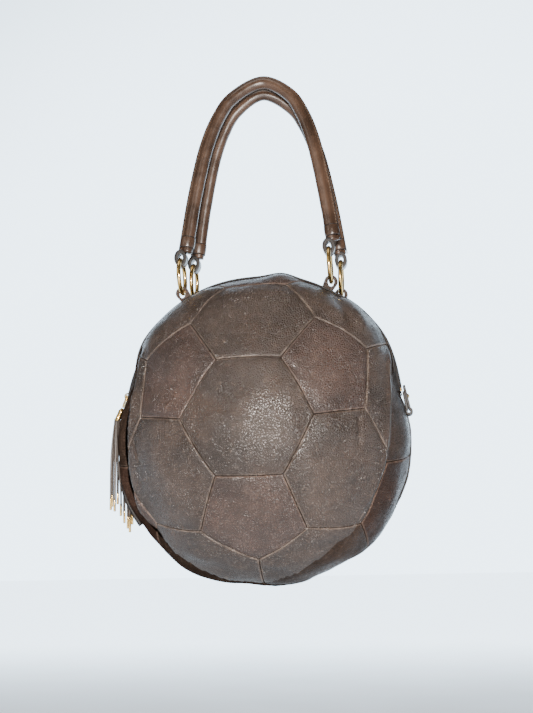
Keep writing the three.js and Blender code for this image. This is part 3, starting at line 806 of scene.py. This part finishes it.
def add_panels():
    for middle, corners in football_panels():
        name = panel_name(middle, corners)
        units, faces, edge = panel_grid(middle, corners)
        distance = distance_to_edge(on_ball(units), on_ball(edge))
        points = on_ball(units, panel_height(units, distance))
        kind = "pentagon" if len(corners) == 5 else "hexagon"
        material = pentagon_leather if kind == "pentagon" else hexagon_leather
        piece = new_object(f"{name}_leather", points, faces, material)
        # The distance to the painted shade line behind the left fold, kept for the leather's finish.
        crevice, share = fold_distance(units, -1)
        crevice += CREVICE_BEHIND * smooth(share, 0, 0.3) * smooth(-share, -0.98, -0.72)
        ridge = fold_distance(units, 1)[0]
        crevice, ridge = (np.where(units[:, 1] < 0.02, away, FAR) for away in (crevice, ridge))
        for label, values in (("seam", distance / MM), ("crevice", crevice), ("ridge", ridge)):
            layer = piece.data.attributes.new(f"{label}_distance", "FLOAT", "POINT")
            layer.data.foreach_set("value", np.clip(values, -FAR, FAR).astype(np.float32))
        piece.data.polygons.foreach_set("use_smooth", np.ones(len(faces), bool))
        thicken(piece, 0.0014)
        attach(piece, "bag")
        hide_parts(name)


def add_lining(half, side):
    """A cloth lining that follows the inside of the leather."""
    around, rows = 144, 40
    turn = np.linspace(0, 2 * math.pi, around, endpoint=False)
    rim = rim_point(turn, side, LINING_MOUTH)
    middle = np.array((0, side, 0.0))
    units = np.concatenate([unit(middle + (rim - middle) * (row / rows)) for row in range(1, rows + 1)])
    depth = np.minimum(sag(units) + side_fold(units), 0.0012) + 0.0006 * soft_noise(on_ball(units), 0.03, 9)
    for hand in (-1, 1):
        depth = depth - 0.0055 * bell(fold_distance(units, hand)[0], 15) * (units[:, 0] * hand > 0)
    points = on_ball(units, depth - 0.0036)
    faces = grid_faces(rows, around) + [tuple(range(around))]
    bowl = points, faces, lining_cloth, "bag", "lining_cloth", (f"{half}_lining",)
    thicken(add_piece(f"{half}_cloth_lining", *bowl), 0.0005)


# ---- The zip's strip over the top ----

DROOP = 8.0  # how far the tape falls, per metre squared from the middle plane


def on_arc(radius, degrees, y=0.0):
    turn = np.radians(degrees)
    return np.stack((radius * np.cos(turn), np.zeros_like(turn) + y, ARC_Z + radius * np.sin(turn)), -1)


def add_tape(half, side, degrees):
    """The woven tape: a band along the arc that droops a little away from the middle plane."""
    y = np.linspace(0.0027, 0.024, 6)
    y = np.concatenate((y, y[::-1]))
    under = np.repeat((0.0004, 0.0004 + 0.0009), 6)
    rings = [on_arc(ARC_RADIUS - under - DROOP * y * y, np.full(12, turn), side * y) for turn in degrees]
    tape = np.concatenate(rings), capped_faces(len(rings), 12)
    add_piece(f"{half}_woven_tape", *tape, tape_cloth, "bag", "zip_tape", (f"{half}_zip_tape",))


def add_zip_strip():
    degrees = np.linspace(8, 176, 169)
    for half, side in SIDES:
        add_tape(half, side, degrees)
        add_facing(half, side)
        stitches = Build()
        for turn in np.arange(24, 163, 1.6):
            y = side * 0.0124
            ends = on_arc(ARC_RADIUS + 0.001 - DROOP * y * y, np.array([turn, turn + 0.9]), y)
            stitches.take(*stitch(ends[0], ends[1], unit(ends.mean(0) - (0, y, ARC_Z))))
        stitches.piece(f"{half}_zip_stitches", thread, "bag", "zip_tape")


def add_facing(half, side):
    """The strip of leather turned in from the ball's edge and sewn down along the zip's tape."""
    degrees = np.linspace(14, 170, 157)
    units = rim_point(np.radians(degrees), side)
    rim = on_ball(units, sag(units) - 0.0012)
    turn = np.degrees(np.arctan2(rim[:, 2] - ARC_Z, rim[:, 0]))
    sewn = on_arc(ARC_RADIUS + 0.0005, turn, side * 0.0108)
    folded = on_arc(ARC_RADIUS + 0.0014, turn, side * 0.0114)
    rise = unit(rim - (0, 0, ARC_Z))
    shoulder = folded * 0.3 + rim * 0.7 + rise * 0.0007
    swell = (0.0004 + 0.0034 * bell(degrees - 36, 15))[:, None]
    upper = [sewn, folded, (folded + shoulder) / 2 + rise * swell, shoulder + rise * swell * 0.8, rim]
    lower = [rim - rise * 0.0012, (folded + shoulder) / 2 - rise * 0.0009]
    sections = np.stack(upper + lower, 1)
    faces = capped_faces(len(degrees), sections.shape[1])
    add_piece(f"{half}_zip_facing", sections.reshape(-1, 3), faces, facing_leather, "bag", "hexagon_leather")


def stitch(start, end, out, radius=0.00032):
    """One stitch: a short thread that rises out of the leather and goes in again."""
    t = np.linspace(0, 1, 6)
    path = start + np.outer(t, end - start) + np.outer(np.sin(t * math.pi) * radius * 1.1, out)
    return sweep(path, circle(radius, 8), out)


def add_teeth():
    pitch = math.degrees(0.0024 / ARC_RADIUS)
    section = rounded_box(0.0011, 0.0029, 0.0004, 3)
    for half, side in SIDES:
        row = Build()
        for turn in np.arange(8.6, 175.4, pitch):
            turn += pitch / 2 * (side > 0)
            centre = on_arc(ARC_RADIUS, turn)
            out = unit(centre - (0, 0, ARC_Z))
            y = np.array((-0.0009, 0.0002, 0.0012, 0.0018, 0.003, 0.0034)) * side
            size = np.array((0.5, 0.96, 0.7, 0.8, 1.0, 0.7))
            path = centre + np.outer(y, (0, 1, 0))
            row.take(*sweep(path, section * size[:, None, None], np.cross(out, (0, 1, 0))))
        row.piece(f"{half}_tooth_row", brass, "bag", "brass", (f"{half}_zip_teeth",))


def add_piping():
    """Black piping along the leather's edge by the zip. At the front's left it goes on down, loose and
    thicker, as a black band of painted shade that stands for the shadow between the front half and the
    tassel.
    """
    for half, side in SIDES:
        low_left = 215 if side < 0 else 196
        degrees = np.linspace(12, low_left, 240)
        units = rim_point(np.radians(degrees), side)
        # Below the slider on the front's left, the piping widens into a black band of painted shade.
        lower = smooth(degrees, 166, 182) * (side < 0)
        loose = smooth(degrees, 184, 206) * (side < 0)
        path = on_ball(units, 0.0003 + 0.0006 * lower + 0.001 * loose + sag(units) + side_fold(units))
        path[:, 1] += side * (0.0007 + 0.006 * loose)
        radius = (0.0011 + 0.0013 * lower) * (0.55 + 0.45 * smooth(degrees, 12, 22))
        cord = sweep(path, circle(1, 12) * radius[:, None, None], (0, 1, 0))
        add_piece(f"{half}_black_piping", *cord, edge_paint, "bag", "tassel_leather")


# ---- The tassel ----


LACES = (  # where each lace's end hangs, to the right and to the back of the top, its length and its bow
    (-0.0045, -0.001, 0.0815, 0.0012),
    (-0.0005, -0.004, 0.0865, 0.0015),
    (0.001, 0.004, 0.0785, 0.001),
    (0.0055, -0.006, 0.0915, 0.0013),
    (0.009, 0.005, 0.0985, 0.0016),
    (0.0125, -0.002, 0.1045, 0.0012),
    (0.0148, -0.0042, 0.1085, 0.0015),
    (0.019, -0.004, 0.1005, 0.001),
    (-0.0075, 0.003, 0.0845, 0.0014),
    (0.0168, -0.0084, 0.1055, 0.0012),
)


def add_tassel():
    middle = np.array(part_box("tassel_cap")).mean(0)
    low, high = (np.array(v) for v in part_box("tassel_fringe"))
    profile = [
        (r * 0.0029, along * 0.014 - 0.007)
        for r, along in (
            (0, 0), (0.5, 0), (0.62, 0.03), (0.66, 0.1), (0.95, 0.2), (1, 0.28), (1, 0.44), (0.93, 0.47),
            (0.93, 0.52), (1, 0.55), (1, 0.92), (0.94, 1), (0.8, 1), (0.78, 0.9), (0, 0.9),
        )
    ]
    cap = lathe(profile, middle, unit((-0.45, 0, -1)))
    add_piece("turned_tassel_cap", *cap, brass, "pull", "brass", ("tassel_cap",))
    top = np.array(((low[0] + high[0]) / 2, 0, high[2] + 0.0035))
    for number, (across, ahead, drop, bow) in enumerate(LACES, 1):
        t = np.linspace(0, 1, 26)[:, None]
        lean = np.array((across, ahead, 0))
        sway = np.array((math.cos(number * 2.4), math.sin(number * 1.7), 0)) * bow
        spread = lean * 0.12 + lean * 0.88 * smooth(t, -0.12, 0.95)
        path = top + spread - np.array((0, 0, drop)) * t + sway * np.sin(t * math.pi * 1.6)
        add_lace(number, path, number * 0.9, ("tassel_fringe",) if number == 1 else ())


def add_lace(number, path, turn, replaced):
    """One flat lace with a brass tip."""
    face = np.array((math.cos(turn), math.sin(turn), 0))
    strand = sweep(path, rounded_box(0.0017, 0.0026, 0.0006), face)
    lace = add_piece(f"tassel_lace_{number}", *strand, lace_leather, "pull", "tassel_leather", replaced)
    end = path[-1] - (path[-1] - path[-2]) * 0.5
    down = unit(path[-1] - path[-2])
    profile = (
        (0, 0), (0.00105, 0), (0.0013, 0.0004), (0.00125, 0.0016), (0.0013, 0.0118),
        (0.00105, 0.0126), (0.0008, 0.0126), (0.0007, 0.0116), (0, 0.0116),
    )
    turned = lathe(profile, end - down * 0.0006, down, 16)
    tip = add_piece(f"tassel_lace_tip_{number}", *turned, brass, "pull", "brass")


# ---- Rings, tabs and handles ----


def eye_at(x, side):
    return np.array((x, side * RING_Y, ARC_Z + math.sqrt(ARC_RADIUS**2 - x * x) + EYE_LIFT))


def handle_layout(half, side):
    """A handle's eyes, the up direction of its rings, and its centre line."""
    eyes = [eye_at(x, side) for x in RING_X[half]]
    lean = math.atan2(eyes[1][2] - eyes[0][2], eyes[1][0] - eyes[0][0])
    up = np.array((-math.sin(lean), 0, math.cos(lean)))
    across = np.array((math.cos(lean), 0, math.sin(lean)))
    ends = [eye + up * (2 * RING_RADIUS + LOOP_STEM) + (x, 0, 0) for eye, x in zip(eyes, HANDLE_END[half])]
    apex = BALL_CENTER + HANDLE_APEX[half]
    shares = [np.array((wide, math.sqrt(drop), drop)) for wide, drop in HANDLE_ARCH]
    legs = [[apex + (end - apex) * share for share in shares] for end in ends]
    path = smooth_line(legs[0][::-1] + legs[1][1:], 240)
    return eyes, up, across, path


def add_ring(name, eye, up, across, body):
    centre = eye + up * RING_RADIUS
    turn = np.linspace(0, 2 * math.pi, 72, endpoint=False)[:, None]
    path = centre + RING_RADIUS * (np.cos(turn) * up + np.sin(turn) * np.array((0, 1, 0)))
    wire = sweep(path, circle(RING_WIRE, 18), across, closed=True)
    add_piece(f"{name}_round", *wire, brass, body, "brass", (name,))


def handle_section(flange):
    """A rolled tube with its two edges sewn into a flat flange that points out of the handle's arch."""
    turn = np.radians(np.linspace(24, 336, 22))
    tube = np.column_stack((np.cos(turn) * 0.006, np.sin(turn) * 0.0058))
    lip = np.array(((1.0, -0.0014), (1.0, 0.0), (1.0, 0.0014)))
    lip[:, 0] = FLANGE_ROOT + flange * np.array((0.92, 1.0, 0.92))
    root = np.array(((0.0064 + flange * 0.25, -0.0016),))
    return np.concatenate((tube, root, lip, root * (1, -1)))


def add_handle(half, side):
    body = f"{half}_handle"
    eyes, up, across, path = handle_layout(half, side)
    along = unit(np.gradient(path, axis=0))
    out = np.cross(along, (0, 1, 0))
    out *= np.sign((out * (path - (0, 0, -0.18))).sum(1, keepdims=True))
    t = np.linspace(0, 1, len(path))
    low = np.minimum(t, 1 - t) * 2
    flange = 0.0026 - 0.0014 * smooth(low, 0.5, 0.95)
    sections = np.array([handle_section(f) for f in flange])
    thin = 1 - 0.12 * (1 - smooth(low, 0.0, 0.05))
    sections[..., 0] *= thin[:, None]
    skin = sweep(path, sections, out)
    tube = add_piece(f"{half}_rolled_handle", *skin, handle_leather, body, "handle_leather", (body,))
    wrinkle(tube, 0.00022, 0.009)
    paint = sweep(path + out * (FLANGE_ROOT + flange)[:, None], rounded_box(0.0009, 0.003, 0.0004, 3), out)
    add_piece(f"{half}_handle_edge", *paint, edge_paint, body, "tassel_leather")
    add_flange_stitches(half, path, out, flange, body)
    for hand, eye in zip(("left", "right"), eyes):
        add_loop(f"{half}_{hand}_handle_loop", eye, up, across, body)
        add_keeper(f"{half}_{hand}_handle_keeper", path, out, eye, hand, body)
        add_ring(f"{half}_{hand}_ring", eye, up, across, f"{half}_rings")
        add_tab(f"{half}_{hand}_ring_tab", eye)


def wrinkle(piece, height, size):
    """Moves a piece's points in and out a little, as soft leather does."""
    mesh = piece.data
    points = np.array([v.co for v in mesh.vertices])
    normals = np.array([v.normal for v in mesh.vertices])
    moved = points + normals * (height * soft_noise(points, size, 5))[:, None]
    mesh.vertices.foreach_set("co", moved.astype(np.float32).ravel())
    mesh.update()


def add_flange_stitches(half, path, out, flange, body):
    row = Build()
    for i in range(8, len(path) - 10, 2):
        for face in (-1, 1) if flange[i] >= 0.0018 else ():
            normal = np.array((0, face, 0))
            lift = out * (FLANGE_ROOT + flange * 0.48)[:, None] + normal * 0.00165
            row.take(*stitch(path[i] + lift[i], path[i] + (path[i + 1] - path[i]) * 1.25 + lift[i], normal))
    row.piece(f"{half}_handle_stitches", thread, body, "handle_leather")


def add_loop(name, eye, up, across, body):
    """The strap end that goes round the ring and back up into the handle."""
    centre = eye + up * (2 * RING_RADIUS + 0.0015)
    turn = np.linspace(0, 2 * math.pi, 48, endpoint=False)[:, None]
    path = centre + np.cos(turn) * across * 0.0046 + np.sin(turn) * up * 0.0072
    outwards = unit(path - centre)
    strap = sweep(path, rounded_box(0.0036, 0.0105, 0.0009), outwards, closed=True)
    add_piece(name, *strap, handle_leather, body, "handle_leather")
    for k, y in enumerate((-0.0052, 0.0052), 1):
        rim = sweep(path + (0, y, 0), rounded_box(0.0038, 0.0009, 0.0003, 3), outwards, closed=True)
        add_piece(f"{name}_edge_{k}", *rim, edge_paint, body, "tassel_leather")


def add_keeper(name, path, out, eye, hand, body):
    """A narrow band round the handle's end, with two stitches at the front."""
    height = np.array(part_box(name))[:, 2].mean()
    half = len(path) // 2
    reach = slice(0, half) if hand == "left" else slice(half, len(path))
    centre = reach.start + int(np.argmin(np.abs(path[reach, 2] - height)))
    span = path[centre - 5 : centre + 6]
    if len(span) < 11:
        span = path[:11] if hand == "left" else path[-11:]
    line = smooth_line([span[0], span[5], span[-1]], 13)
    line = line[6] + (line - line[6]) * (0.0115 / np.linalg.norm(line[-1] - line[0]))
    puff = np.array((0.93, 0.985, 1.0, 1.01, 1.02, 1.02, 1.025, 1.02, 1.02, 1.01, 1.0, 0.985, 0.93))
    turn = np.linspace(0, 2 * math.pi, 40, endpoint=False)
    oval = np.column_stack((np.cos(turn) * 0.0078 + 0.0012, np.sin(turn) * 0.0073))
    outer = sweep(line, oval * puff[:, None, None], out[centre])[0]
    inner = sweep(line, np.tile(oval * (0.84, 0.82), (13, 1, 1)), out[centre])[0]
    count = len(oval)
    faces = grid_faces(13, count)
    shift = len(outer)
    faces += [tuple(i + shift for i in face) for face in faces]
    for row in (0, 12):
        for i in range(count):
            a, b = row * count + i, row * count + (i + 1) % count
            faces.append((a, b, b + shift, a + shift))
    band = np.concatenate((outer, inner)), faces
    add_piece(f"{name}_band", *band, handle_leather, body, "handle_leather", (name,))
    edges = Build()
    for row in (0, 12):
        ring = slice(row * count, (row + 1) * count)
        rim = outer[ring] * 0.96 + inner[ring] * 0.04
        edges.take(*sweep(rim, circle(0.00042, 8), line[-1] - line[0], closed=True))
    edges.piece(f"{name}_edges", edge_paint, body, "tassel_leather")
    dots = Build()
    side = math.copysign(1, eye[1])
    for k in (-1, 1):
        at = line[6] + np.array((0, side * 0.00745, 0)) + out[centre] * 0.0012 * k * 1.6
        dots.take(*stitch(at - (0, 0, 0.0008), at + (0, 0, 0.0008), np.array((0, side, 0)), 0.0004))
    dots.piece(f"{name}_stitches", thread, body, "handle_leather")


def add_tab(name, eye):
    """A folded leather tab that holds a ring, sewn under the leather's edge."""
    dress(name, tab_leather, 0.0006)
    outwards = unit(eye - (0, eye[1], ARC_Z))
    sideways = np.cross(outwards, (0, 1, 0))
    row = Build()
    for face in (-1, 1):
        normal = np.array((0, face, 0))
        for k in (-1, 0, 1):
            at = eye - outwards * 0.0082 + sideways * 0.0026 * k + normal * 0.0016
            row.take(*stitch(at - sideways * 0.0009, at + sideways * 0.0009, normal, 0.00028))
    row.piece(f"{name}_stitches", thread, "bag", "pentagon_leather")


# ---- The tab at the zip's right end ----


def add_end_tab():
    """A strap folded round into a loop, with painted edges."""
    top = np.array((0.1432, 0, BALL_CENTER[2] + 0.04))
    low = np.array((0.1482, 0, BALL_CENTER[2] + 0.0135))
    down = unit(low - top)
    side = np.cross((0, 1, 0), down)
    turn = np.radians(np.linspace(-150, 150, 30))[:, None]
    loop = low + 0.0028 * (np.cos(turn) * down + np.sin(turn) * side)
    start = top - side * 0.0008
    first = start + np.linspace(0, 1, 14, endpoint=False)[:, None] * (loop[0] - start)
    back = top + down * 0.006 + side * 0.0008
    last = loop[-1] + np.linspace(0, 1, 11)[1:, None] * (back - loop[-1])
    path = np.concatenate((first, loop, last))
    strap = sweep(path, rounded_box(0.0122, 0.002, 0.0006, 3), (0, 1, 0))
    add_piece("folded_end_tab", *strap, edge_paint, "bag", "tassel_leather", ("zip_end_tab",))
    for k, y in enumerate((-0.0061, 0.0061), 1):
        rim = sweep(path + (0, y, 0), rounded_box(0.0008, 0.0026, 0.0003, 3), (0, 1, 0))
        add_piece(f"end_tab_edge_{k}", *rim, edge_paint, "bag", "tassel_leather")
    profile = ((0, 0), (0.0021, 0), (0.0025, 0.0006), (0.0023, 0.0017), (0.0013, 0.0025), (0, 0.0027))
    head = lathe(profile, top + (low - top) * 0.4 - side * 0.0014, -side)
    add_piece("round_end_stud", *head, brass, "bag", "brass", ("zip_end_stud",))


# ---- The object ----

add_camera()
add_tassel()
add_studio()
add_panels()
add_zip_strip()
add_teeth()
add_piping()
dress("zip_slider", brass, 0.00025)
dress("zip_pull", brass, 0.00025)
for half, side in SIDES:
    add_handle(half, side)
add_end_tab()
for half, side in SIDES:
    add_lining(half, side)
